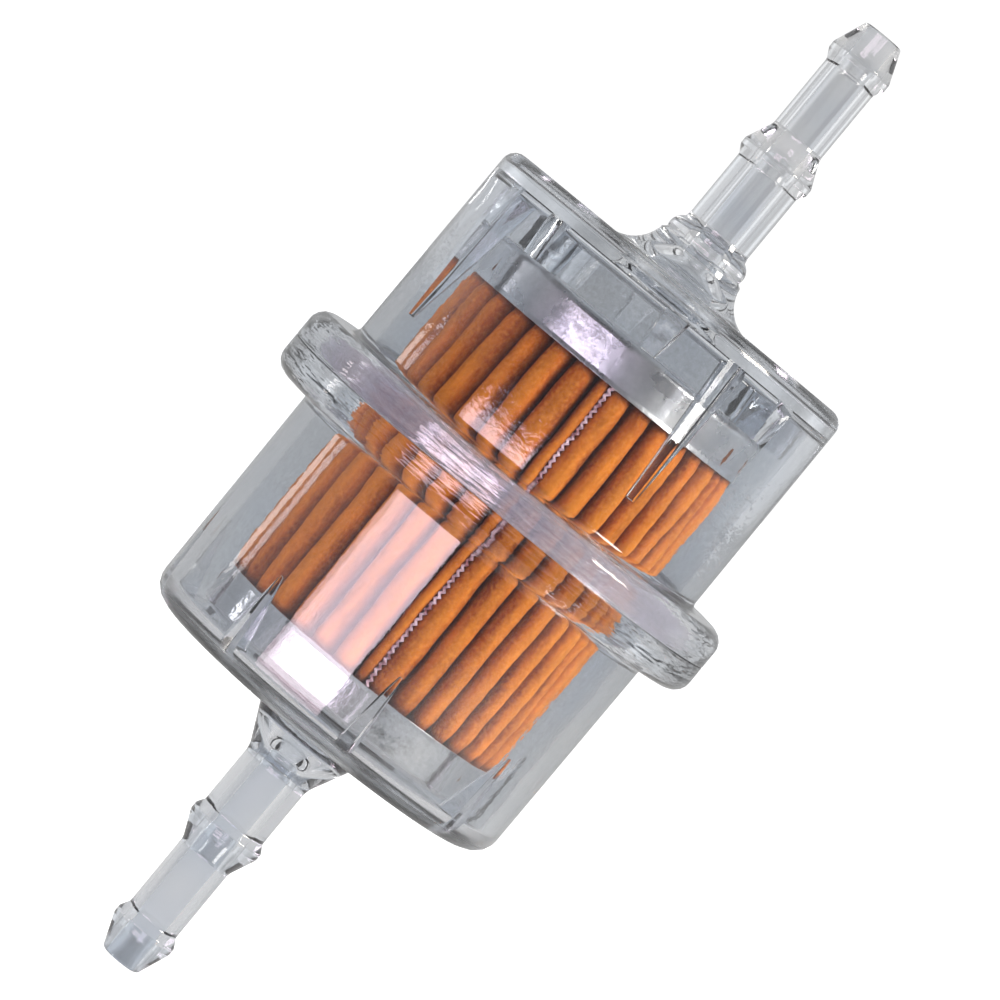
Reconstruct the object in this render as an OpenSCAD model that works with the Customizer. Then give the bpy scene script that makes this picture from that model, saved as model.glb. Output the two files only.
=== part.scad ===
// In-line fuel filter: two clear housing halves welded together at a thick ring, with a pleated paper
// element between two metal caps inside. Z is the axis of flow, the inlet points to +Z and the origin
// is the middle of the weld. Outlines are pairs of radius and height above the weld.

/* [Hose stubs] */
// Length over both stub tips
overall_length = 125; // [122:0.5:132]
// Radius of the end face of each stub
tip_r = 2.3; // [2.2:0.05:2.6]
// Radius of the barb at the tip, for the small hose
small_barb_r = 3.7; // [3.5:0.05:3.8]
// Radius of the stem behind the small barb
small_stem_r = 3.1; // [2.9:0.05:3.3]
// Radius of the barb for the large hose
large_barb_r = 4.4; // [4.2:0.05:4.7]
// Radius of the stem behind the large barb
large_stem_r = 3.85; // [3.5:0.05:4]
// Radius of the fuel passage through each stub
bore_r = 1.8; // [1.4:0.05:2]
// Length of the level crest on each barb
crest_length = 0.8; // [0.4:0.1:1.2]

/* [Housing] */
// Radius of the body at its two ends
body_r = 22.4; // [22:0.1:23]
// How much wider the body is at the ring than at its ends
draft = 0.15; // [0:0.05:0.3]
// Height of the flat top above the weld
top_height = 29.2; // [29:0.1:30]
// Depth of the flat bottom below the weld
bottom_depth = 30.2; // [30:0.1:31]
// Thickness of the side wall
wall = 2; // [1.8:0.1:2.2]
// Thickness of the top
top_thickness = 2.6; // [2.2:0.1:2.8]
// Thickness of the bottom
floor_thickness = 2; // [1.8:0.1:2.2]
// Outer radius of the ring where the halves meet
flange_r = 27.35; // [26.5:0.05:28]
// Height of the whole ring, half of it on each housing
flange_height = 7.8; // [7:0.2:9]
// Rounding of the ring's outer edges
flange_round = 1.8; // [1:0.1:2]
// Rounding of the edge of the top
top_round = 1.6; // [1:0.1:2]
// Rounding of the edge of the bottom
bottom_round = 2.6; // [1.5:0.1:3]

/* [Element] */
// Outer radius of the two metal caps
cap_r = 17.6; // [17.3:0.1:17.8]
// Height of the rim of each cap
cap_rim = 4.9; // [4:0.1:5.5]
// Thickness of the caps' sheet metal
cap_sheet = 0.35; // [0.25:0.05:0.5]
// Top face of the inlet cap, above the weld
element_top = 21.7; // [21:0.1:22]
// Number of folds in the paper
pleats = 36; // [30:1:40]
// Radius over the tips of the folds
pleat_tip_r = 17.2; // [16.9:0.05:17.2]
// Radius at the bottom of the gaps between the folds
pleat_root_r = 9.7; // [9.6:0.05:10.5]
// Thickness of the paper
paper = 0.3; // [0.25:0.05:0.35]
// How far the folds bunch up on one side, in degrees
bunching = 8; // [0:1:10]
// Where the glued seam is, in degrees from -Y towards +X
seam_angle = 4.8; // [-20:0.2:20]
// Width of the one narrow fold beside the seam, in degrees
seam_fold = 5.5; // [5:0.5:10]

/* [Hidden] */
$fn = 96;

clear = [0.82, 0.85, 0.87, 0.45];
tin = [0.78, 0.79, 0.8];
epoxy = [0.85, 0.78, 0.6];

tip = overall_length / 2;
ceiling = top_height - top_thickness;
floor_depth = bottom_depth - floor_thickness;
inner_r = body_r - wall;
ring_top = flange_height / 2;
ring_fillet = 1;
inner_fillet = 1;

// Barbs, as distances from the tip of the stub
small_barb_at = 3.6;
small_stem_at = 5.5;
large_ramp_at = 13.9;
large_barb_at = 17.1;
large_stem_at = 18.8;

// Rounded bead and flare where the inlet stub meets the top
bead = [3.3, top_height + 4.5];
bead_r = 1.6;
bead_from = 65;
bead_to = -20;
flare_r = 4.2;
flare = [9.4, top_height + flare_r];
flare_from = 188;
stem_end = 6.6;

// Cone where the outlet stub meets the bottom
cone_r = 6.9;
cone_top_r = 4.05;
cone_height = 5.4;
cone_end = 6.4;

// Passages inside the two halves, between the bore and the chamber
inlet_mouth_r = 4.2;
outlet_mouth_r = 4.1;
mouth_chamfer = 0.5;
outlet_well = 4;
bore_cone = 2.4;

// Tongue of the outlet half in the groove of the inlet half
tongue_in = 23.4;
tongue_out = 24.6;
tongue_length = ring_top - 1.5;
groove_gap = 0.3;
groove_end_gap = 0.4;
groove_depth = tongue_length + groove_end_gap;

// Ribs inside the housings: short feet and long fins at the inlet, pointed stays at the outlet.
// Each has a first direction, a width and inner radius at its thick end, and the same at its thin end.
rib_root = inner_r + 0.6;
rib_sunk = 0.5;
foot_count = 8;
foot_angle = -84.3;
foot_width = 3;
foot_end_width = 1.9;
foot_in = 16.4;
foot_end_in = 16.7;
foot_end = element_top + 0.02;
fin_count = 4;
fin_angle = foot_angle + 22.5;
fin_width = 2.7;
fin_end_width = 1.2;
fin_in = cap_r + 0.3;
fin_end = 9.2;
stay_count = 8;
stay_angle = -79.7;
stay_width = 2.2;
stay_end_width = 0.5;
stay_end = 19.2;
thin_in = inner_r - 0.1;

// Element
gasket = 1;
gasket_in = 4.5;
gasket_out = 9.5;
element_bottom = -floor_depth + gasket;
neck_r = 4;
neck_length = 0.8;
cap_corner = 0.8;
potting = 1.5;
potting_overlap = 0.6;
potting_clear = 0.2;
paper_top = element_top - cap_sheet - potting;
paper_bottom = element_bottom + cap_sheet + potting;
core_out = 9.2;
core_in = 8.8;
core_columns = 8;
core_rows = 6;
window = 3.2;
window_depth = 3;
fold_gap = 0.15;
shoulder = 1;
tip_drop = 0.3;
tip_wide = 0.66;
tip_narrow = 0.3;
seam_width = 2 * fold_gap - 0.02;
seam_in = 13;
seam_out = pleat_tip_r - 0.4;
degree = 180 / PI;

function polar(r, a) = r * [cos(a), sin(a)];

function arc(centre, r, from, to, steps) =
    [for (i = [0:steps]) centre + polar(r, from + (to - from) * i / steps)];

// The stub from its tip down to the stem of the large hose
function stub() = [
    [tip_r, tip],
    [small_barb_r, tip - small_barb_at],
    [small_barb_r, tip - small_barb_at - crest_length],
    [small_stem_r, tip - small_stem_at],
    [small_stem_r, tip - large_ramp_at],
    [large_barb_r, tip - large_barb_at],
    [large_barb_r, tip - large_barb_at - crest_length],
    [large_stem_r, tip - large_stem_at]
];

// The ring's half, from the body's wall out to the face of the weld
function ring() = concat(
    arc([body_r + draft + ring_fillet, ring_top + ring_fillet], ring_fillet, 180, 270, 4),
    arc([flange_r - flange_round, ring_top - flange_round], flange_round, 90, 0, 6)
);

// The inside of a half, from the weld to the edge of the passage
function chamber(depth) = concat(
    [[inner_r + draft, 0]],
    arc([inner_r - inner_fillet, depth - inner_fillet], inner_fillet, 0, 90, 4)
);

function inlet_outline() = concat(
    stub(),
    [[large_stem_r, top_height + stem_end]],
    arc(bead, bead_r, bead_from, bead_to, 6),
    arc(flare, flare_r, flare_from, 270, 8),
    arc([body_r - top_round, top_height - top_round], top_round, 90, 0, 5),
    ring(),
    [
        [flange_r, 0],
        [tongue_out + groove_gap, 0],
        [tongue_out + groove_gap, groove_depth],
        [tongue_in - groove_gap, groove_depth],
        [tongue_in - groove_gap, 0]
    ],
    chamber(ceiling),
    [
        [inlet_mouth_r + mouth_chamfer, ceiling],
        [inlet_mouth_r, ceiling + mouth_chamfer],
        [inlet_mouth_r - mouth_chamfer, top_height],
        [bore_r, top_height + bore_cone],
        [bore_r, tip]
    ]
);

function outlet_outline() = concat(
    stub(),
    [
        [large_stem_r, bottom_depth + cone_end],
        [cone_top_r, bottom_depth + cone_height],
        [cone_r, bottom_depth]
    ],
    arc([body_r - bottom_round, bottom_depth - bottom_round], bottom_round, 90, 0, 7),
    ring(),
    [
        [flange_r, 0],
        [tongue_out, 0],
        [tongue_out, -tongue_length],
        [tongue_in, -tongue_length],
        [tongue_in, 0]
    ],
    chamber(floor_depth),
    [
        [outlet_mouth_r + mouth_chamfer, floor_depth],
        [outlet_mouth_r, floor_depth + mouth_chamfer],
        [outlet_mouth_r, floor_depth + outlet_well],
        [bore_r, floor_depth + outlet_well + bore_cone],
        [bore_r, tip]
    ]
);

// A rib on the chamber's wall that gets thinner and shallower from the height start to the height end
module rib(start, end, width, end_width, start_in, end_in) {
    intersection() {
        rotate([90, 0, 0]) linear_extrude(2 * width, center = true)
            polygon([[start_in, start], [rib_root, start], [rib_root, end], [end_in, end]]);
        rotate([90, 0, 90]) linear_extrude(body_r)
            polygon([
                [-width / 2, start],
                [width / 2, start],
                [end_width / 2, end],
                [-end_width / 2, end]
            ]);
    }
}

// A short foot that holds the element down
module foot() {
    rib(ceiling + rib_sunk, foot_end, foot_width, foot_end_width, foot_in, foot_end_in);
}

// A long fin that guides the element and thins out down the wall
module fin() {
    rib(ceiling + rib_sunk, fin_end, fin_width, fin_end_width, fin_in, thin_in);
}

// A short pointed rib that centres the element at the outlet
module stay() {
    rib(floor_depth + rib_sunk, stay_end, stay_width, stay_end_width, fin_in, thin_in);
}

module around(count, first) {
    for (i = [0:count - 1]) rotate(first + 360 * i / count) children();
}

module inlet_housing() {
    color(clear) union() {
        rotate_extrude() polygon(inlet_outline());
        around(foot_count, foot_angle) foot();
        around(fin_count, fin_angle) fin();
    }
}

module outlet_housing() {
    color(clear) mirror([0, 0, 1]) union() {
        rotate_extrude() polygon(outlet_outline());
        around(stay_count, stay_angle) stay();
    }
}

// Melted plastic that fills the groove round the tongue
module weld_bead() {
    color(clear) rotate_extrude() difference() {
        translate([tongue_in - groove_gap, 0])
            square([tongue_out - tongue_in + 2 * groove_gap, groove_depth]);
        translate([tongue_in, 0]) square([tongue_out - tongue_in, tongue_length]);
    }
}

// Direction of the gap before fold i, counted from the seam; the last fold is the narrow one
function turned(i) = i < pleats ? i * (360 - seam_fold) / (pleats - 1) : 360;
function fold_angle(i) = -90 + seam_angle + turned(i) + bunching * (cos(turned(i)) - 1);

// One face of the folded paper, moved by inset towards the inside of the folds
function folds(inset) = [
    for (i = [0:pleats - 1])
        let (
            half = (fold_angle(i + 1) - fold_angle(i)) / 2,
            middle = (fold_angle(i + 1) + fold_angle(i)) / 2,
            gap = fold_gap + inset,
            lobe = [
                [pleat_root_r - inset, half - gap / pleat_root_r * degree],
                [pleat_tip_r - shoulder, half - gap / pleat_tip_r * degree],
                [pleat_tip_r - tip_drop - inset, half * tip_wide - inset],
                [pleat_tip_r - inset, half * tip_narrow]
            ]
        )
        each concat(
            [for (p = lobe) polar(p[0], middle - p[1])],
            [for (k = [3:-1:0]) polar(lobe[k][0], middle + lobe[k][1])]
        )
];

module pleated_paper() {
    color([0.85, 0.45, 0.13]) translate([0, 0, paper_bottom])
        linear_extrude(paper_top - paper_bottom) difference() {
            polygon(folds(0));
            polygon(folds(paper));
        }
}

module seam_glue() {
    color([0.9, 0.8, 0.85]) rotate(fold_angle(0)) translate([seam_in, -seam_width / 2, paper_bottom])
        cube([seam_out - seam_in, seam_width, paper_top - paper_bottom]);
}

// A pressed cap with its plate at height 0 and its rim pointing up
module cap(hole) {
    rotate_extrude() difference() {
        polygon(concat(
            [[hole, 0]],
            arc([cap_r - cap_corner, cap_corner], cap_corner, 270, 360, 4),
            [[cap_r, cap_rim], [hole, cap_rim]]
        ));
        polygon(concat(
            [[hole, cap_sheet]],
            arc([cap_r - cap_corner, cap_corner], cap_corner - cap_sheet, 270, 360, 4),
            [[cap_r - cap_sheet, cap_rim + 1], [hole, cap_rim + 1]]
        ));
    }
}

module inlet_end_cap() {
    color(tin) translate([0, 0, element_top]) mirror([0, 0, 1]) cap(0);
}

module outlet_end_cap() {
    color(tin) translate([0, 0, element_bottom]) union() {
        cap(neck_r - cap_sheet);
        translate([0, 0, -neck_length]) rotate_extrude()
            translate([neck_r - cap_sheet, 0]) square([cap_sheet, neck_length + cap_sheet]);
    }
}

// A disc of adhesive with a hole, from just inside the core to just inside the rim of a cap
module potting_ring() {
    inside = core_in - potting_overlap;
    rotate_extrude() translate([inside, 0])
        square([cap_r - cap_sheet - potting_clear - potting_overlap - inside, potting]);
}

module inlet_potting() {
    color(epoxy) translate([0, 0, paper_top]) potting_ring();
}

module outlet_potting() {
    color(epoxy) translate([0, 0, paper_bottom - potting]) potting_ring();
}

module core_tube() {
    tall = paper_top - paper_bottom;
    color(tin) translate([0, 0, paper_bottom]) difference() {
        rotate_extrude() translate([core_in, 0]) square([core_out - core_in, tall]);
        for (row = [0:core_rows - 1])
            translate([0, 0, tall * (row + 0.5) / core_rows])
                around(core_columns, 0) translate([core_out, 0, 0])
                    cube([window_depth, window, window], center = true);
    }
}

module outlet_gasket() {
    color([0.15, 0.15, 0.16]) translate([0, 0, -floor_depth]) rotate_extrude()
        translate([gasket_in, 0]) square([gasket_out - gasket_in, gasket]);
}

inlet_housing();
outlet_housing();
weld_bead();
pleated_paper();
seam_glue();
inlet_end_cap();
outlet_end_cap();
inlet_potting();
outlet_potting();
core_tube();
outlet_gasket();
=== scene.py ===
"""Clear in-line fuel filter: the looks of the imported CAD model, in metres, with the filter's axis along Z."""
import math

import bmesh
import bpy
from mathutils import Matrix, Vector, noise


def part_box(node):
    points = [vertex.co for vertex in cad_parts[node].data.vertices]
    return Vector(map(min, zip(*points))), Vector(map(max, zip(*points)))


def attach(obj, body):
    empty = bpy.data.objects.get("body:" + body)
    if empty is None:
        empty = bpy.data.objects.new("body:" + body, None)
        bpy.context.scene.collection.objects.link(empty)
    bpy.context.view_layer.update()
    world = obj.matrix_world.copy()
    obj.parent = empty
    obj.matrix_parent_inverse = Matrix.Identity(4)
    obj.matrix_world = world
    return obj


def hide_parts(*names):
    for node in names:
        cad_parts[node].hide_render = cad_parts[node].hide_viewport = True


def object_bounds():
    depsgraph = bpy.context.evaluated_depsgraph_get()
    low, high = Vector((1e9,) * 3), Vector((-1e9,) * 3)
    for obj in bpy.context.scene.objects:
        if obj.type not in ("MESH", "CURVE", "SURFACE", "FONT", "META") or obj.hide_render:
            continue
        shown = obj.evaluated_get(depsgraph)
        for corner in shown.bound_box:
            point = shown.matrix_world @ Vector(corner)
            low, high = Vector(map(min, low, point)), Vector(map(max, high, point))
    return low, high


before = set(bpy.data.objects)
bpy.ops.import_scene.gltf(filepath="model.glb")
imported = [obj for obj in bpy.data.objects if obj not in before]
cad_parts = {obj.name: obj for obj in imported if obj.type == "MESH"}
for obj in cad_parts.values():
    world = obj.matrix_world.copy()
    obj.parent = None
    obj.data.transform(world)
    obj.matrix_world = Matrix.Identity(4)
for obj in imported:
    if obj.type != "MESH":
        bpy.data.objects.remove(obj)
CAD_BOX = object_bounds()

MM = 0.001
TURN = 2 * math.pi


# ---------------------------------------------------------------- sizes, in millimetres
def node_mm(name):
    """The lowest and highest corner of a CAD node."""
    low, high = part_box(name)
    return low / MM, high / MM


inlet_high = node_mm("inlet_housing")[1]
cap_low, cap_high = node_mm("inlet_end_cap")
base_low, base_high = node_mm("outlet_end_cap")
paper_low, paper_high = node_mm("pleated_paper")
glue_low, glue_high = node_mm("seam_glue")
gasket_low, gasket_high = node_mm("outlet_gasket")

# Hose stubs: radii, then distances back from the tip. Each barb has a level crest.
TIP = inlet_high.z
BORE_R = 1.8
TIP_R, BARB_R, STEM_R, COLLAR_R, NECK_R = 2.3, 3.7, 3.1, 4.4, 3.85
BARB_AT, STEM_FROM, STEM_TO, COLLAR_AT, NECK_FROM = 3.6, 5.5, 14.2, 17.1, 18.8
CREST = 0.8

# Bodies: outer radius at the ends, extra radius at the ring, and where the flat ends are.
BODY_R, DRAFT = 22.4, 0.15
TOP, BOTTOM = 29.2, 30.2
INLET_BEAD_AT, INLET_BEAD_R, INLET_BEAD_CENTRE, INLET_BEAD_TOP = 4.5, 1.6, 3.3, 2.1
INLET_FLARE_R, INLET_FLARE_CENTRE = 4.2, 9.4
OUTLET_FLARE_R, OUTLET_FLARE_END = 6.9, 6.2
CHAMBER_R = 20.4
CEILING, FLOOR = 26.6, 28.2
FUNNEL_R, FUNNEL_THROAT_R, FUNNEL_TOP = 4.5, 3.7, 2.4
SOCKET_R, SOCKET_DEPTH, SOCKET_TAPER = 4.1, 4.0, 6.4

# Ring and weld: half the ring's height, its radius, and the tongue in its groove.
RING = 3.9
FLANGE_R = inlet_high.x
TONGUE_IN, TONGUE_OUT = 23.4, 24.6
TONGUE, GROOVE, GROOVE_GAP = 2.4, 2.8, 0.3
CONTACT = 0.03

# Ribs on the chambers' walls: number, direction of the first in degrees, height of the thin end.
RIB_ROOT = CHAMBER_R + 0.6
RIB_SUNK, RIB_ROUNDING = 0.5, 0.25
FEET, FOOT_ANGLE, FOOT_END = 8, -84.3, cap_high.z + 0.04
FINS, FIN_ANGLE, FIN_END = 4, -61.8, 9.2
STAYS, STAY_ANGLE, STAY_END = 8, -79.7, 19.2
FOOT_IN, FOOT_END_IN = 16.4, 16.7
RIB_IN, RIB_END_IN = 17.9, 20.3
# Their half widths at the inner face and at the wall, at the thick and at the thin end.
FOOT_HALVES, FOOT_END_HALVES = (1.5, 1.5), (0.95, 0.95)
FIN_HALVES, FIN_END_HALVES = (0.75, 1.4), (0.4, 1.1)
STAY_HALVES, STAY_END_HALVES = (0.8, 1.2), (0.2, 0.45)

# Filter element: caps of pressed sheet, gasket, adhesive and folded paper.
CAP_R, SHEET = cap_high.x, 0.35
CAP_NECK_R = 4.0
CAP_ROOM, RIM_FLARE, RIM_HEM = 0.1, 0.08, 0.5
MIDDLE_STEP, RING_STEP, PLATE_RISE = 0.5, 0.35, 0.8
GASKET_IN, GASKET_OUT = 4.5, gasket_high.x
ADHESIVE_IN = 8.3
INSET = 0.02
PAPER = 0.3
PLEATS, PLEAT_TIP, PLEAT_ROOT, SHOULDER = 36, 17.35, 9.9, 1.55
SEAM_ANGLE, SEAM_FOLD, BUNCHING = 4.8, 5.5, 8.0
BULGE, PINCH, PINCH_REACH = 0.30, 0.35, 1.3
GAP, GAP_NARROWS = 0.24, 0.04
RIM_SHADE_REACH = 0.7
LEAN_FROM = 13


# ---------------------------------------------------------------- outlines
def arc(centre, radius, start, end, steps):
    """Points on a circle, angles in degrees."""
    points = []
    for i in range(steps + 1):
        a = math.radians(start + (end - start) * i / steps)
        points.append((centre[0] + radius * math.cos(a), centre[1] + radius * math.sin(a)))
    return points


def softened(corners, steps=5):
    """A closed outline with its corners rounded.

    Corners are (r, z, rounding radius), or (r, z) to stay sharp. A guard point beside each rounding keeps
    the smooth shading of the long faces flat.
    """
    points = []
    count = len(corners)
    for i, corner in enumerate(corners):
        here = Vector(corner[:2])
        radius = corner[2] if len(corner) > 2 else 0
        if not radius:
            points.append(tuple(here))
            continue
        before = Vector(corners[i - 1][:2]) - here
        after = Vector(corners[(i + 1) % count][:2]) - here
        half = before.angle(after) / 2
        reach = min(radius / math.tan(half), before.length * 0.49, after.length * 0.49)
        radius = reach * math.tan(half)
        start = here + before.normalized() * reach
        end = here + after.normalized() * reach
        inward = (before.normalized() + after.normalized()).normalized()
        centre = here + inward * (radius / math.sin(half))
        guard = min(0.08, reach * 0.3)
        if before.length > 2 * (reach + guard):
            points.append(tuple(start + before.normalized() * guard))
        for k in range(steps + 1):
            spoke = (start - centre).lerp(end - centre, k / steps)
            points.append(tuple(centre + spoke.normalized() * radius))
        if after.length > 2 * (reach + guard):
            points.append(tuple(end + after.normalized() * guard))
    return points


def stub():
    """Corners of a hose stub, from the mouth of its bore down to the stem of the large hose."""
    return [
        (BORE_R, TIP, 0.3),
        (TIP_R, TIP, 0.35),
        (BARB_R, TIP - BARB_AT, 0.5),
        (BARB_R, TIP - BARB_AT - CREST, 0.35),
        (STEM_R, TIP - STEM_FROM, 0.7),
        (STEM_R, TIP - STEM_TO, 2.0),
        (COLLAR_R, TIP - COLLAR_AT, 0.6),
        (COLLAR_R, TIP - COLLAR_AT - CREST, 0.35),
        (NECK_R, TIP - NECK_FROM, 0.7),
    ]


def ring():
    """Corners of half the ring, from the body's wall to the face of the weld."""
    return [
        (BODY_R + DRAFT, RING, 0.9),
        (FLANGE_R, RING, 1.8),
        (FLANGE_R, CONTACT / 2, 0.12),
    ]


def inlet_outline():
    """The inlet housing: stub, bead and flare above a flat top, ring with a groove, then the chamber."""
    bead = TOP + INLET_BEAD_AT
    corners = stub() + [(NECK_R, bead + INLET_BEAD_TOP, 0.5)]
    corners += arc((INLET_BEAD_CENTRE, bead), INLET_BEAD_R, 65, -20, 8)
    corners += arc((INLET_FLARE_CENTRE, TOP + INLET_FLARE_R), INLET_FLARE_R, 188, 270, 12)
    corners += [(BODY_R, TOP, 1.6)] + ring()
    corners += [
        (TONGUE_OUT + GROOVE_GAP, CONTACT / 2, 0.1),
        (TONGUE_OUT + GROOVE_GAP, GROOVE, 0.2),
        (TONGUE_IN - GROOVE_GAP, GROOVE, 0.2),
        (TONGUE_IN - GROOVE_GAP, CONTACT / 2, 0.1),
        (CHAMBER_R + DRAFT, CONTACT / 2, 0.15),
        (CHAMBER_R, CEILING, 1.0),
        (FUNNEL_R, CEILING, 0.6),
        (FUNNEL_THROAT_R, TOP, 1.5),
        (BORE_R, TOP + FUNNEL_TOP, 1.0),
    ]
    return softened(corners)


def outlet_outline():
    """The outlet housing, drawn upside down: stub and flare, ring with a tongue, chamber, neck socket."""
    corners = stub() + [
        (NECK_R, BOTTOM + OUTLET_FLARE_END, 3.0),
        (OUTLET_FLARE_R, BOTTOM, 0.6),
        (BODY_R, BOTTOM, 2.6),
    ] + ring()
    corners += [
        (TONGUE_OUT, CONTACT / 2, 0.1),
        (TONGUE_OUT, -TONGUE, 0.15),
        (TONGUE_IN, -TONGUE, 0.15),
        (TONGUE_IN, CONTACT / 2, 0.1),
        (CHAMBER_R + DRAFT, CONTACT / 2, 0.15),
        (CHAMBER_R, FLOOR, 1.0),
        (SOCKET_R, FLOOR, 0.4),
        (SOCKET_R, FLOOR + SOCKET_DEPTH, 0.5),
        (BORE_R, FLOOR + SOCKET_TAPER, 1.0),
    ]
    return softened(corners)


# ---------------------------------------------------------------- mesh makers
def new_object(name, bm):
    mesh = bpy.data.meshes.new(name)
    bm.normal_update()
    bm.to_mesh(mesh)
    bm.free()
    obj = bpy.data.objects.new(name, mesh)
    bpy.context.scene.collection.objects.link(obj)
    return obj


def shade(obj, angle=32):
    """Smooth shading, with an edge kept wherever the surface turns by more than the angle."""
    obj.data.shade_smooth()
    obj.data.set_sharp_from_angle(angle=math.radians(angle))
    return obj


def applied(obj):
    """Turns the object's modifiers into its mesh."""
    depsgraph = bpy.context.evaluated_depsgraph_get()
    mesh = bpy.data.meshes.new_from_object(obj.evaluated_get(depsgraph))
    obj.modifiers.clear()
    obj.data = mesh
    return obj


def lathe(name, outline, steps=240, wobble=None):
    """A closed outline of (r, z) in millimetres turned about Z."""
    bm = bmesh.new()
    rows = []
    for i in range(steps):
        a = TURN * i / steps
        row = []
        for r, z in outline:
            if wobble:
                r, z = wobble(r, z, a)
            row.append(bm.verts.new((r * math.cos(a) * MM, r * math.sin(a) * MM, z * MM)))
        rows.append(row)
    count = len(outline)
    for i in range(steps):
        here, there = rows[i], rows[(i + 1) % steps]
        for k in range(count):
            n = (k + 1) % count
            bm.faces.new((here[k], there[k], there[n], here[n]))
    bmesh.ops.recalc_face_normals(bm, faces=bm.faces)
    return new_object(name, bm)


def rib(name, angle, thick, thin):
    """A rib on the chamber's wall.

    Each end is (z, inner radius, half width at the inner face, half width at the wall).
    """
    bm = bmesh.new()
    corners = []
    for z, r_in, half, root in sorted((thick, thin)):
        for x, y in ((r_in, -half), (RIB_ROOT, -root), (RIB_ROOT, root), (r_in, half)):
            corners.append(bm.verts.new((x * MM, y * MM, z * MM)))
    bm.faces.new(corners[3::-1])
    bm.faces.new(corners[4:])
    for k in range(4):
        n = (k + 1) % 4
        bm.faces.new((corners[k], corners[n], corners[4 + n], corners[4 + k]))
    bmesh.ops.recalc_face_normals(bm, faces=bm.faces)
    rounding = min(min(thick[2], thin[2]) * 0.7, RIB_ROUNDING) * MM
    wall = (RIB_ROOT - 0.3) * MM
    inner = [e for e in bm.edges if all(math.hypot(v.co.x, v.co.y) < wall for v in e.verts)]
    bmesh.ops.bevel(
        bm, geom=inner, offset=rounding, segments=3, profile=0.5, affect="EDGES", clamp_overlap=True)
    turn = Matrix.Rotation(math.radians(angle), 3, "Z")
    bmesh.ops.rotate(bm, verts=bm.verts, cent=(0, 0, 0), matrix=turn)
    return new_object(name, bm)


def ribs_around(name, count, first, thick, thin):
    return [rib(f"{name}{k}", first + 360 * k / count, thick, thin) for k in range(count)]


def join_solids(obj, others):
    """Adds the other closed solids to obj as one solid."""
    for other in others:
        step = obj.modifiers.new("join", "BOOLEAN")
        step.operation = "UNION"
        step.solver = "EXACT"
        step.object = other
        applied(obj)
    for other in others:
        bpy.data.objects.remove(other)
    return obj


# ---------------------------------------------------------------- housings
def inlet_housing():
    body = lathe("clear_inlet_housing", inlet_outline())
    start = CEILING + RIB_SUNK
    foot = (start, FOOT_IN, *FOOT_HALVES), (FOOT_END, FOOT_END_IN, *FOOT_END_HALVES)
    fin = (start, RIB_IN, *FIN_HALVES), (FIN_END, RIB_END_IN, *FIN_END_HALVES)
    ribs = ribs_around("foot", FEET, FOOT_ANGLE, *foot) + ribs_around("fin", FINS, FIN_ANGLE, *fin)
    return shade(join_solids(body, ribs))


def outlet_housing():
    """Made upside down, so the stays' directions change sign, and then turned over."""
    body = lathe("clear_outlet_housing", outlet_outline())
    start = FLOOR + RIB_SUNK
    stay = (start, RIB_IN, *STAY_HALVES), (STAY_END, RIB_END_IN, *STAY_END_HALVES)
    join_solids(body, ribs_around("stay", STAYS, -STAY_ANGLE, *stay))
    body.data.transform(Matrix.Rotation(math.pi, 4, "X"))
    return shade(body)


def weld_bead():
    """The melt that fills the groove round the tongue."""
    gap = GROOVE_GAP - CONTACT
    outline = softened([
        (TONGUE_IN - gap, CONTACT, 0.1),
        (TONGUE_IN - gap, GROOVE - CONTACT, 0.15),
        (TONGUE_OUT + gap, GROOVE - CONTACT, 0.15),
        (TONGUE_OUT + gap, CONTACT, 0.1),
        (TONGUE_OUT + CONTACT, CONTACT, 0.05),
        (TONGUE_OUT + CONTACT, TONGUE + CONTACT, 0.1),
        (TONGUE_IN - CONTACT, TONGUE + CONTACT, 0.1),
        (TONGUE_IN - CONTACT, CONTACT, 0.05),
    ], steps=2)
    return shade(lathe("clear_weld_bead", outline))


# ---------------------------------------------------------------- filter element
FOLD_WALL = (0.0, 0.25, 0.5, 0.72, 0.88)
TIP_STEPS = 5
PAPER_ROWS = 64
DRIFT_LENGTH = 45


def drift(seed, z, pitch):
    """A smooth wander between about -1 and 1 along the height, different for each seed."""
    return noise.noise(Vector((seed * 7.31, 3.7, z / pitch))) * 2


def fold_angle(i):
    """Direction in degrees of the gap before fold i, counted from the glued seam; the last fold is narrow."""
    turned = i * (360 - SEAM_FOLD) / (PLEATS - 1) if i < PLEATS else 360
    return -90 + SEAM_ANGLE + turned + BUNCHING * (math.cos(math.radians(turned)) - 1)


def gap_at(i, height):
    """Direction of a gap at a height, with the wander of hand-set paper."""
    calm = 1 - abs(2 * height - 1) ** 4
    k = i % PLEATS
    along = height * DRIFT_LENGTH
    wander = 0.75 * drift(k, along, 16) + 0.22 * drift(k + 90, along, 4.5)
    return fold_angle(i) + (0.25 + 0.75 * calm) * wander


def leant(lean, r):
    """How far a fold leans over at a radius, in degrees. It leans most at its tip."""
    return lean * max(r - LEAN_FROM, 0) / 4 * 0.6


def half_fold(half, tip):
    """Half of a fold's middle line, from its root to its tip: (radius, degrees from the fold's middle)."""
    shoulder = tip - SHOULDER
    line = []
    for t in FOLD_WALL:
        r = PLEAT_ROOT + (shoulder - PLEAT_ROOT) * t
        clear = math.degrees((GAP - GAP_NARROWS * t) / r)
        line.append((r, half - clear))
    rounds_from, across = line[-1]
    for t in range(1, TIP_STEPS + 1):
        u = math.radians(90 * t / TIP_STEPS)
        r = rounds_from + (tip - rounds_from) * math.sin(u) ** 0.85
        line.append((r, across * math.cos(u) ** 0.9))
    return line


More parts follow.
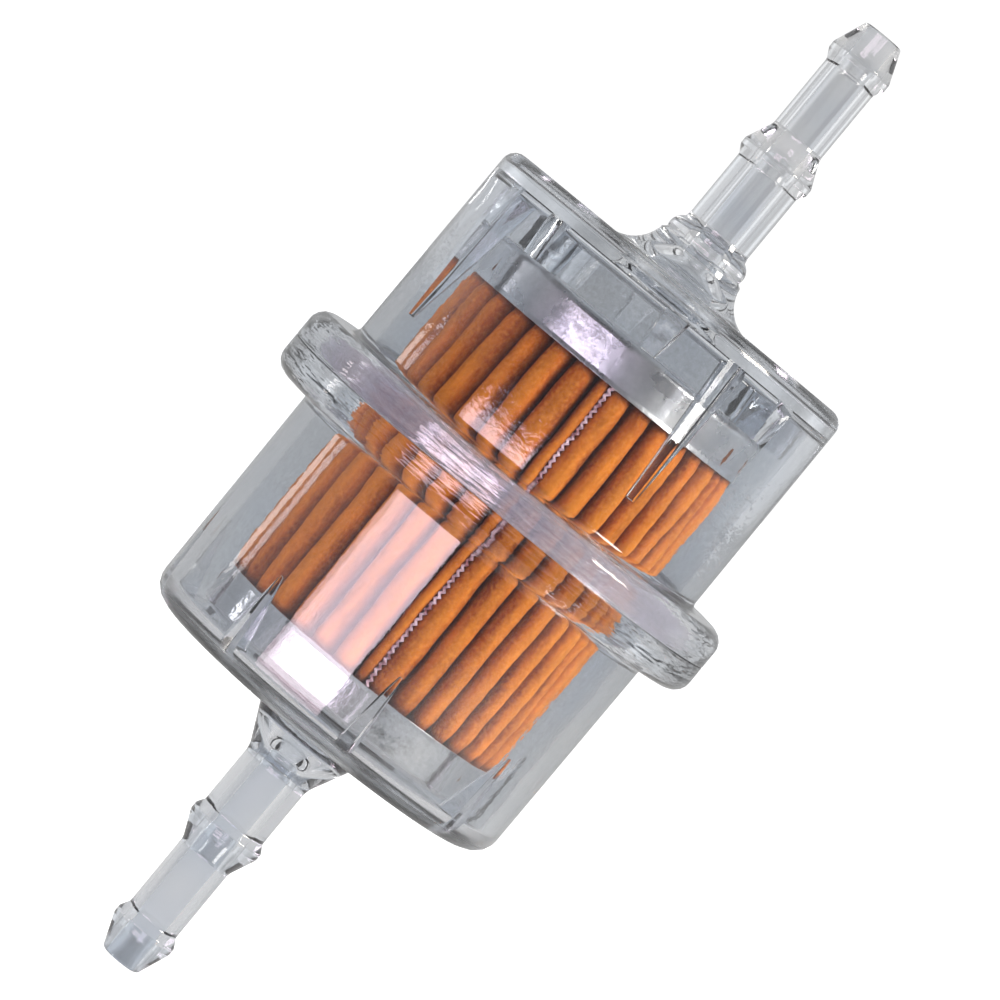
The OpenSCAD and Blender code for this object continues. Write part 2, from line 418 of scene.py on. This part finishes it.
def fold_row(height):
    """The paper's middle line round the element at one height, from 0 at the bottom to 1 at the top."""
    bulge = BULGE * (1 - abs(2 * height - 1) ** 3)
    z = paper_low.z + (paper_high.z - paper_low.z) * height
    to_rim = min(abs(z - cap_low.z), abs(z - base_high.z))
    bulge -= PINCH * max(0.0, 1 - to_rim / PINCH_REACH)
    along = height * DRIFT_LENGTH
    row = []
    for i in range(PLEATS):
        first, last = gap_at(i, height), gap_at(i + 1, height)
        middle, half = (first + last) / 2, (last - first) / 2
        tip = PLEAT_TIP + bulge + 0.16 * drift(i + 40, along, 12) - PAPER / 2
        tip += 0.05 * drift(i + 200, along, 1.6)
        lean = 0.18 * drift(i + 130, along, 14)
        line = half_fold(half, tip)
        for r, off in line:
            row.append((r, middle - off + leant(lean, r)))
        for r, off in line[-2::-1]:
            row.append((r, middle + off + leant(lean, r)))
    return row


def pleated_paper():
    bm = bmesh.new()
    low, high = paper_low.z + PAPER / 2, paper_high.z - PAPER / 2
    rows = []
    for j in range(PAPER_ROWS + 1):
        height = j / PAPER_ROWS
        z = low + (high - low) * height
        row = []
        for r, a in fold_row(height):
            a = math.radians(a)
            row.append(bm.verts.new((r * math.cos(a) * MM, r * math.sin(a) * MM, z * MM)))
        rows.append(row)
    count = len(rows[0])
    for j in range(PAPER_ROWS):
        for k in range(count):
            n = (k + 1) % count
            bm.faces.new((rows[j][k], rows[j][n], rows[j + 1][n], rows[j + 1][k]))
    obj = new_object("folded_paper", bm)
    thick = obj.modifiers.new("paper", "SOLIDIFY")
    thick.thickness = PAPER * MM
    thick.offset = 0
    thick.use_even_offset = False
    return shade(applied(obj), 60)


def seam_glue():
    """The serrated, glued edge of the paper that stands in the gap at the seam."""
    bm = bmesh.new()
    tooth, thick, root, edge_r, end_gap = 0.72, 0.19, 14.5, 16.9, 0.2
    low, high = glue_low.z + end_gap, glue_high.z - end_gap
    steps = int((high - low) / (tooth / 4))
    loops = []
    for j in range(steps + 1):
        z = low + (high - low) * j / steps
        height = (z - paper_low.z) / (paper_high.z - paper_low.z)
        saw = abs((j / 4) % 1 * 2 - 1)
        a = math.radians(gap_at(0, height))
        out = edge_r + 0.3 * saw + 0.15 * drift(300, z, 3)
        side = 0.30 * (saw - 0.5) + 0.1 * drift(301, z, 2)
        edge = (out, side - thick), (out + 0.08, side), (out, side + thick)
        section = ((root, -thick), *edge, (root, thick))
        loop = []
        for x, y in section:
            across = x * math.cos(a) - y * math.sin(a)
            deep = x * math.sin(a) + y * math.cos(a)
            loop.append(bm.verts.new((across * MM, deep * MM, z * MM)))
        loops.append(loop)
    for j in range(steps):
        for k in range(5):
            n = (k + 1) % 5
            bm.faces.new((loops[j][k], loops[j][n], loops[j + 1][n], loops[j + 1][k]))
    bm.faces.new(loops[0])
    bm.faces.new(loops[-1])
    bmesh.ops.recalc_face_normals(bm, faces=bm.faces)
    return shade(new_object("seam_bead", bm), 50)


def dented(r, z, a):
    """Slight unevenness of pressed sheet."""
    at = Vector((math.cos(a) * 2.2, math.sin(a) * 2.2, z * 0.22))
    push = 0.05 * noise.noise(at) + 0.02 * noise.noise(at * 3.1)
    return r + push * min(1, r / 10), z


def inlet_cap():
    """Closed cap: a plate with a pressed middle and ring, and a rim round the ends of the folds."""
    top, rim = cap_high.z, cap_low.z
    middle, ring_face = top - MIDDLE_STEP, top - RING_STEP
    radius = CAP_R - CAP_ROOM
    corners = [
        (0.02, middle), (6.0, middle, 0.8), (7.2, top, 0.8), (12.2, top, 0.5), (12.9, ring_face, 0.5),
        (14.4, ring_face, 0.5), (15.1, top, 0.5), (radius, top, 0.75),
        (radius, rim + RIM_HEM, 0.3), (radius + RIM_FLARE, rim, 0.06), (radius - SHEET, rim, 0.06),
        (radius - SHEET, top - SHEET, 0.45), (15.0, top - SHEET, 0.4), (14.4, ring_face - SHEET, 0.4),
        (12.9, ring_face - SHEET, 0.4), (12.3, top - SHEET, 0.4), (7.1, top - SHEET, 0.6),
        (6.1, middle - SHEET, 0.6), (0.02, middle - SHEET),
    ]
    return shade(lathe("tin_inlet_cap", softened(corners, 4), 192, dented), 40)


def outlet_cap():
    """Open cap: its plate carries a pressed ring and a turned-down neck."""
    plate, rim, neck = base_low.z + PLATE_RISE, base_high.z, base_low.z
    ring_face = plate + RING_STEP
    radius = CAP_R - CAP_ROOM
    corners = [
        (CAP_NECK_R - SHEET, neck, 0.1), (CAP_NECK_R, neck, 0.1), (CAP_NECK_R, plate, 0.25),
        (10.5, plate, 0.4), (11.2, ring_face, 0.4), (13.4, ring_face, 0.4), (14.1, plate, 0.4),
        (radius, plate, 0.75), (radius, rim - RIM_HEM, 0.3), (radius + RIM_FLARE, rim, 0.06),
        (radius - SHEET, rim, 0.06), (radius - SHEET, plate + SHEET, 0.45), (14.2, plate + SHEET, 0.3),
        (13.5, ring_face + SHEET, 0.3), (11.1, ring_face + SHEET, 0.3), (10.4, plate + SHEET, 0.3),
        (CAP_NECK_R - SHEET, plate + SHEET, 0.3),
    ]
    return shade(lathe("tin_outlet_cap", softened(corners, 4), 192, dented), 40)


def washer(r_in, r_out, low, high, rounding):
    """Corners of a flat ring that is set in a little from its CAD node above and below."""
    low, high = low + INSET, high - INSET
    return [(r_in, low, rounding), (r_out, low, rounding), (r_out, high, rounding), (r_in, high, rounding)]


def gasket():
    corners = washer(GASKET_IN, GASKET_OUT, gasket_low.z, gasket_high.z, 0.25)
    return shade(lathe("rubber_gasket", softened(corners, 4), 160))


def potting(name, node, squeezed):
    """A ring of cured adhesive with an uneven face, at the height squeezed, towards the paper."""
    low, high = node_mm(node)

    def settle(r, z, a):
        if abs(z - squeezed) < 0.3:
            z += 0.15 * noise.noise(Vector((math.cos(a) * r * 0.8, math.sin(a) * r * 0.8, 5.0)))
        return r, z

    corners = washer(ADHESIVE_IN, high.x, low.z, high.z, 0.1)
    return shade(lathe(name, softened(corners, 3), 160, settle))


# ---------------------------------------------------------------- materials
# Where the plastic and the paper change, in metres: heights above the weld, or distances from the axis. Some of
# these bands are painted light and shade: the stubs' brighter tint, the paper's dark valleys and its light
# crests.
WELD_BAND = 0.0036, 0.0042
CORNER_HEIGHT, CORNER_RADIUS = (0.0272, 0.0290), (0.0170, 0.0205)
INLET_STUB_BRIGHTENED, OUTLET_STUB_BRIGHTENED = (0.0295, 0.033), (-0.0305, -0.034)
VALLEY_SHADE, CREST_HIGHLIGHT_BAND = (0.0160, 0.01735), (0.0171, 0.0177)


class Tree:
    """The nodes of a material or world, and short ways to add and link them."""

    def __init__(self, owner, output="OutputMaterial", place="Object"):
        owner.use_nodes = True
        self.owner = owner
        self.tree = owner.node_tree
        self.tree.nodes.clear()
        self.output = self.node(output)
        self.place = self.node("TexCoord").outputs[place]

    def node(self, kind, **settings):
        made = self.tree.nodes.new("ShaderNode" + kind)
        for key, value in settings.items():
            if hasattr(made, key):
                setattr(made, key, value)
            else:
                self.feed(made, key.replace("_", " "), value)
        return made

    def feed(self, node, key, value):
        socket = node.inputs[key]
        if isinstance(value, bpy.types.NodeSocket):
            self.tree.links.new(value, socket)
        else:
            socket.default_value = value

    def noise(self, scale, detail=3.0, rough=0.5, vector=None):
        made = self.node("TexNoise", Scale=scale, Detail=detail, Roughness=rough)
        self.feed(made, "Vector", vector or self.place)
        return made.outputs["Fac"]

    def stretched(self, x, y, z):
        return self.node("Mapping", Vector=self.place, Scale=(x, y, z)).outputs["Vector"]

    def span(self, value, low, high, to_low, to_high):
        """Maps value from low..high to to_low..to_high, and holds it there beyond."""
        made = self.node("MapRange")
        ends = {"Value": value, "From Min": low, "From Max": high, "To Min": to_low, "To Max": to_high}
        for key, end in ends.items():
            self.feed(made, key, end)
        return made.outputs["Result"]

    def math(self, operation, first, second=0.0):
        made = self.node("Math", operation=operation)
        self.feed(made, 0, first)
        self.feed(made, 1, second)
        return made.outputs[0]

    def part(self, axis):
        """The X, Y or Z of the place."""
        return self.node("SeparateXYZ", Vector=self.place).outputs[axis]

    def radius(self):
        """Distance from the filter's axis, in metres."""
        across = self.node("VectorMath", operation="MULTIPLY")
        self.feed(across, 0, self.place)
        self.feed(across, 1, (1, 1, 0))
        length = self.node("VectorMath", operation="LENGTH")
        self.feed(length, 0, across.outputs[0])
        return length.outputs["Value"]

    def mix(self, share, first, second):
        made = self.tree.nodes.new("ShaderNodeMix")
        made.data_type = "RGBA"
        for key, value in ((0, share), (6, first), (7, second)):
            self.feed(made, key, value)
        return made.outputs[2]

    def bump(self, height, strength, distance, under=None):
        made = self.node("Bump", Height=height, Strength=strength, Distance=distance)
        if under:
            self.feed(made, "Normal", under)
        return made.outputs["Normal"]

    def surface(self, **inputs):
        made = self.node("BsdfPrincipled")
        for key, value in inputs.items():
            self.feed(made, key.replace("_", " "), value)
        return made.outputs["BSDF"]

    def choose(self, ray, otherwise, chosen):
        """One shader for the rays named, such as Is Camera Ray, and the other for the rest."""
        made = self.node("MixShader")
        self.feed(made, 0, self.node("LightPath").outputs[ray])
        self.feed(made, 1, otherwise)
        self.feed(made, 2, chosen)
        return made.outputs[0]

    def finish(self, shader):
        self.feed(self.output, "Surface", shader)
        return self.owner


def material(name):
    return Tree(bpy.data.materials.new(name))


def rgb(r, g, b):
    return (r, g, b, 1.0)


def scaled(colour, *shares, most=10.0):
    """The colour times one share, or times a share for each channel, and never over most."""
    shares = shares * 3 if len(shares) == 1 else shares
    return rgb(*[min(c * share, most) for c, share in zip(colour[:3], shares)])


def clear_plastic(name, tint, milky, waves, haze):
    """Clear moulded plastic. Lamps shine through it without bending, so what is inside is lit."""
    t = material(name)
    height = t.part("Z")
    away = t.math("ABSOLUTE", height)
    normal = t.bump(t.noise(60, 2.0, 0.5), waves, 0.0012)
    normal = t.bump(t.noise(900, 2.0, 0.6), 0.12, 0.00005, normal)
    near_weld = t.span(away, *WELD_BAND, 0.55, 0.0)
    normal = t.bump(t.noise(520, 3.0, 0.6, t.stretched(0.12, 0.12, 1.0)), near_weld, 0.0006, normal)

    scuffed_corner = t.math(
        "MULTIPLY",
        t.span(away, *CORNER_HEIGHT, 0.0, 0.30),
        t.span(t.radius(), *CORNER_RADIUS, 0.0, 1.0),
    )
    rough = t.span(t.noise(220, 3.0), 0.3, 0.8, milky, milky + 0.05)
    rough = t.math("MAXIMUM", rough, scuffed_corner)

    specks = t.span(t.noise(2100, 3.0, 0.7), 0.35, 0.65, 0, 1)
    body = t.mix(specks, scaled(tint, 0.92), scaled(tint, 1.08))
    # Painted light: the hose stubs get a lighter tint than the body, to brighten them.
    for brightened_stub_heights, share in ((INLET_STUB_BRIGHTENED, 1.25), (OUTLET_STUB_BRIGHTENED, 1.10)):
        painted_light_on_stub = t.span(height, *brightened_stub_heights, 0.0, 1.0)
        body = t.mix(painted_light_on_stub, body, scaled(tint, share, most=0.975))
    cloudy = t.span(t.noise(90, 2.0, 0.5), 0.35, 0.75, 0, 0.5)
    body = t.mix(cloudy, body, scaled(tint, 0.91, 0.97, 1.06))

    glass = t.surface(Base_Color=body, Roughness=rough, IOR=1.5, Transmission_Weight=1 - haze, Normal=normal)
    pane = t.node("BsdfTransparent", Color=rgb(*[c ** 0.5 for c in tint[:3]]))
    return t.finish(t.choose("Is Shadow Ray", glass, pane.outputs[0]))


def filter_paper():
    """Resin-treated orange paper: fibres and cloudy tone, with painted shade in the valleys and at the ends
    under the caps' rims, and a painted highlight along the crests.
    """
    t = material("filter_paper")
    clouds = t.noise(160, 4.0, 0.6)
    fibres = t.noise(2600, 4.0, 0.7)
    streaks = t.noise(700, 3.0, 0.6, t.stretched(1, 1, 0.18))
    radius, height = t.radius(), t.part("Z")
    base = t.mix(t.span(clouds, 0.3, 0.7, 0, 1), rgb(0.54, 0.110, 0.010), rgb(0.82, 0.22, 0.018))
    base = t.mix(t.span(streaks, 0.36, 0.66, 0, 0.85), base, rgb(0.25, 0.042, 0.005))
    base = t.mix(t.span(fibres, 0.46, 0.7, 0, 0.6), base, rgb(0.93, 0.35, 0.06))
    # Painted highlight: a lighter, yellower tone along the crests of the folds.
    crest = t.span(radius, *CREST_HIGHLIGHT_BAND, 0.0, 0.55)
    base = t.mix(crest, base, rgb(0.80, 0.285, 0.020))
    # Painted shade: the paper darkens towards the roots of the folds, in the valleys between them.
    painted_valley_shade = t.span(radius, *VALLEY_SHADE, 0.92, 0.0)
    base = t.mix(painted_valley_shade, base, rgb(0.09, 0.016, 0.005))
    # Painted shade: a dark band at each end of the paper, just under a cap's rim.
    for rim, inward in ((cap_low.z, -1), (base_high.z, 1)):
        painted_rim_shade = t.span(height, (rim + inward * RIM_SHADE_REACH) * MM, rim * MM, 0.0, 0.85)
        base = t.mix(painted_rim_shade, base, rgb(0.05, 0.012, 0.008))
    normal = t.bump(t.noise(420, 4.0, 0.6), 0.45, 0.0005)
    normal = t.bump(fibres, 0.5, 0.0002, normal)
    rough = t.span(clouds, 0.3, 0.7, 0.55, 0.75)
    return t.finish(t.surface(Base_Color=base, Roughness=rough, Specular_IOR_Level=0.12, Normal=normal))


def tinplate(name, tone, rough_low, rough_high):
    """Pressed tinplate: rolling marks, faint handling marks and cloudy gloss."""
    t = material(name)
    rolled = t.noise(900, 3.0, 0.6, t.stretched(1.0, 0.05, 0.35))
    clouds = t.noise(150, 4.0, 0.6)
    bright = rgb(tone, tone, tone)
    base = t.mix(t.span(clouds, 0.3, 0.7, 0, 1), scaled(bright, 0.86, 0.87, 0.9), bright)
    rough = t.span(clouds, 0.3, 0.75, rough_low, rough_high)
    normal = t.bump(clouds, 0.1, 0.0009)
    normal = t.bump(rolled, 0.3, 0.0002, normal)
    return t.finish(t.surface(Base_Color=base, Roughness=rough, Metallic=1.0, Normal=normal))


def hot_glue():
    t = material("seam_glue")
    lumps = t.noise(900, 3.0)
    base = t.mix(t.span(lumps, 0.4, 0.65, 0, 1), rgb(0.30, 0.12, 0.14), rgb(0.85, 0.66, 0.72))
    normal = t.bump(lumps, 0.6, 0.0004)
    return t.finish(t.surface(Base_Color=base, Roughness=0.25, Normal=normal, Coat_Weight=0.5))


def adhesive():
    t = material("potting")
    clouds = t.noise(300, 3.0)
    base = t.mix(t.span(clouds, 0.3, 0.7, 0, 1), rgb(0.42, 0.26, 0.10), rgb(0.62, 0.44, 0.2))
    normal = t.bump(clouds, 0.4, 0.0003)
    return t.finish(t.surface(Base_Color=base, Roughness=0.4, Normal=normal))


def rubber():
    t = material("gasket_rubber")
    speck = t.noise(1500, 4.0)
    dark, light = rgb(0.012, 0.012, 0.014), rgb(0.035, 0.035, 0.038)
    base = t.mix(t.span(speck, 0.35, 0.7, 0, 1), dark, light)
    normal = t.bump(speck, 0.4, 0.0001)
    return t.finish(t.surface(Base_Color=base, Roughness=0.6, Normal=normal))


# ---------------------------------------------------------------- pieces
def put(obj, node, look):
    """Gives a new piece its material and lets it stand for its CAD node."""
    obj.data.materials.clear()
    obj.data.materials.append(look)
    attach(obj, "root")
    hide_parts(node)


GREY_CLEAR, WARM_CLEAR = rgb(0.785, 0.806, 0.832), rgb(0.93, 0.88, 0.91)
housing_plastic = clear_plastic("clear_plastic", GREY_CLEAR, milky=0.01, waves=0.06, haze=0.01)
weld_plastic = clear_plastic("weld_plastic", WARM_CLEAR, milky=0.08, waves=0.5, haze=0.11)
bright_tin = tinplate("tinplate", tone=0.74, rough_low=0.12, rough_high=0.28)
scuffed_tin = tinplate("scuffed_tinplate", tone=0.75, rough_low=0.20, rough_high=0.38)
dull_tin = tinplate("core_steel", tone=0.6, rough_low=0.3, rough_high=0.45)
amber = adhesive()
inlet_face = node_mm("inlet_potting")[0].z
outlet_face = node_mm("outlet_potting")[1].z

put(inlet_housing(), "inlet_housing", housing_plastic)
put(outlet_housing(), "outlet_housing", housing_plastic)
put(weld_bead(), "weld_bead", weld_plastic)
put(pleated_paper(), "pleated_paper", filter_paper())
put(seam_glue(), "seam_glue", hot_glue())
put(inlet_cap(), "inlet_end_cap", scuffed_tin)
put(outlet_cap(), "outlet_end_cap", bright_tin)
put(potting("inlet_adhesive", "inlet_potting", inlet_face), "inlet_potting", amber)
put(potting("outlet_adhesive", "outlet_potting", outlet_face), "outlet_potting", amber)
put(gasket(), "outlet_gasket", rubber())
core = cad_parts["core_tube"]
core.data.materials.clear()
core.data.materials.append(dull_tin)


# ---------------------------------------------------------------- floor, light and camera
FLOOR_RADIUS, FLOOR_BELOW = 4.0, 0.0005
CAMERA_AT, CAMERA_LENS, CAMERA_LEAN = Vector((0, -0.590, 0.027)), 204, 39.61


def floor():
    """A wide pale floor just under the outlet's tip.

    It looks white where the camera sees it directly, and is darker in front for what the filter reflects.
    """
    bm = bmesh.new()
    bmesh.ops.create_circle(bm, cap_ends=True, radius=FLOOR_RADIUS, segments=96)
    obj = new_object("floor", bm)
    obj.location.z = CAD_BOX[0].z - FLOOR_BELOW
    t = material("floor")
    behind = t.span(t.part("Y"), -0.62, -0.34, 0.0, 1.0)
    tone = t.mix(behind, rgb(0.18, 0.18, 0.183), rgb(0.66, 0.665, 0.67))
    seen = t.node("LightPath").outputs["Is Camera Ray"]
    glow = t.node("Emission", Strength=t.span(seen, 0, 1, t.span(behind, 0, 1, 0.0, 0.17), 1.0))
    both = t.node("AddShader")
    t.feed(both, 0, t.node("BsdfDiffuse", Color=tone).outputs[0])
    t.feed(both, 1, glow.outputs[0])
    obj.data.materials.append(t.finish(both.outputs[0]))


def sky():
    """White where the camera looks past the filter; a softly uneven grey room for reflections."""
    world = bpy.data.worlds.new("studio")
    bpy.context.scene.world = world
    t = Tree(world, "OutputWorld", "Generated")
    depth = t.part("Y")
    level = t.span(depth, -0.8, 0.4, 0.06, 0.90)
    uneven = t.span(t.noise(2.6, 2.0), 0.3, 0.7, 0.55, 1.3)
    level = t.math("MULTIPLY", level, uneven)
    level = t.math("MULTIPLY", level, t.span(depth, 0.5, 0.95, 1.0, 0.68))
    room = t.node("Background", Color=rgb(0.98, 0.99, 1.0), Strength=level)
    white = t.node("Background", Color=rgb(1, 1, 1), Strength=1.05)
    t.finish(t.choose("Is Camera Ray", room.outputs[0], white.outputs[0]))


def softbox(name, azimuth, height, distance, width, tall, power, colour):
    """A rectangular lamp aimed at the axis. Azimuth 0 is the camera's side and positive is to its right."""
    lamp = bpy.data.lights.new(name, "AREA")
    lamp.shape = "RECTANGLE"
    lamp.size, lamp.size_y = width, tall
    lamp.energy = power
    lamp.color = colour
    obj = bpy.data.objects.new(name, lamp)
    a = math.radians(azimuth)
    obj.location = (distance * math.sin(a), -distance * math.cos(a), height)
    back = Vector((obj.location.x, obj.location.y, 0)).normalized()
    obj.rotation_mode = "QUATERNION"
    obj.rotation_quaternion = back.to_track_quat("Z", "Y")
    obj.visible_camera = False
    bpy.context.scene.collection.objects.link(obj)


def camera():
    """The photograph's view: nearly level, with the filter's axis leaning to the right in the frame."""
    cam = bpy.data.cameras.new("camera")
    cam.lens, cam.sensor_width = CAMERA_LENS, 36
    obj = bpy.data.objects.new("camera", cam)
    lean = math.radians(CAMERA_LEAN)
    back = CAMERA_AT.normalized()
    side = Vector((0, 0, 1)).cross(back).normalized()
    up = back.cross(side)
    right = side * math.cos(lean) + up * math.sin(lean)
    top = up * math.cos(lean) - side * math.sin(lean)
    turn = Matrix((right, top, back)).transposed()
    obj.matrix_world = Matrix.Translation(CAMERA_AT) @ turn.to_4x4()
    cam.clip_start, cam.clip_end = 0.01, 50
    bpy.context.scene.collection.objects.link(obj)
    bpy.context.scene.camera = obj


floor()
sky()
softbox("key_left", azimuth=-23, height=-0.031, distance=0.30,
        width=0.235, tall=0.061, power=0.34, colour=(1.0, 0.80, 0.90))
softbox("strip_left", azimuth=-96, height=-0.030, distance=0.40,
        width=0.030, tall=0.058, power=0.035, colour=(1.0, 0.93, 0.90))
softbox("fill_right", azimuth=62, height=0.30, distance=0.7,
        width=0.25, tall=0.25, power=5.0, colour=(1.0, 0.93, 0.84))
camera()

bpy.context.scene.view_settings.view_transform = "Standard"
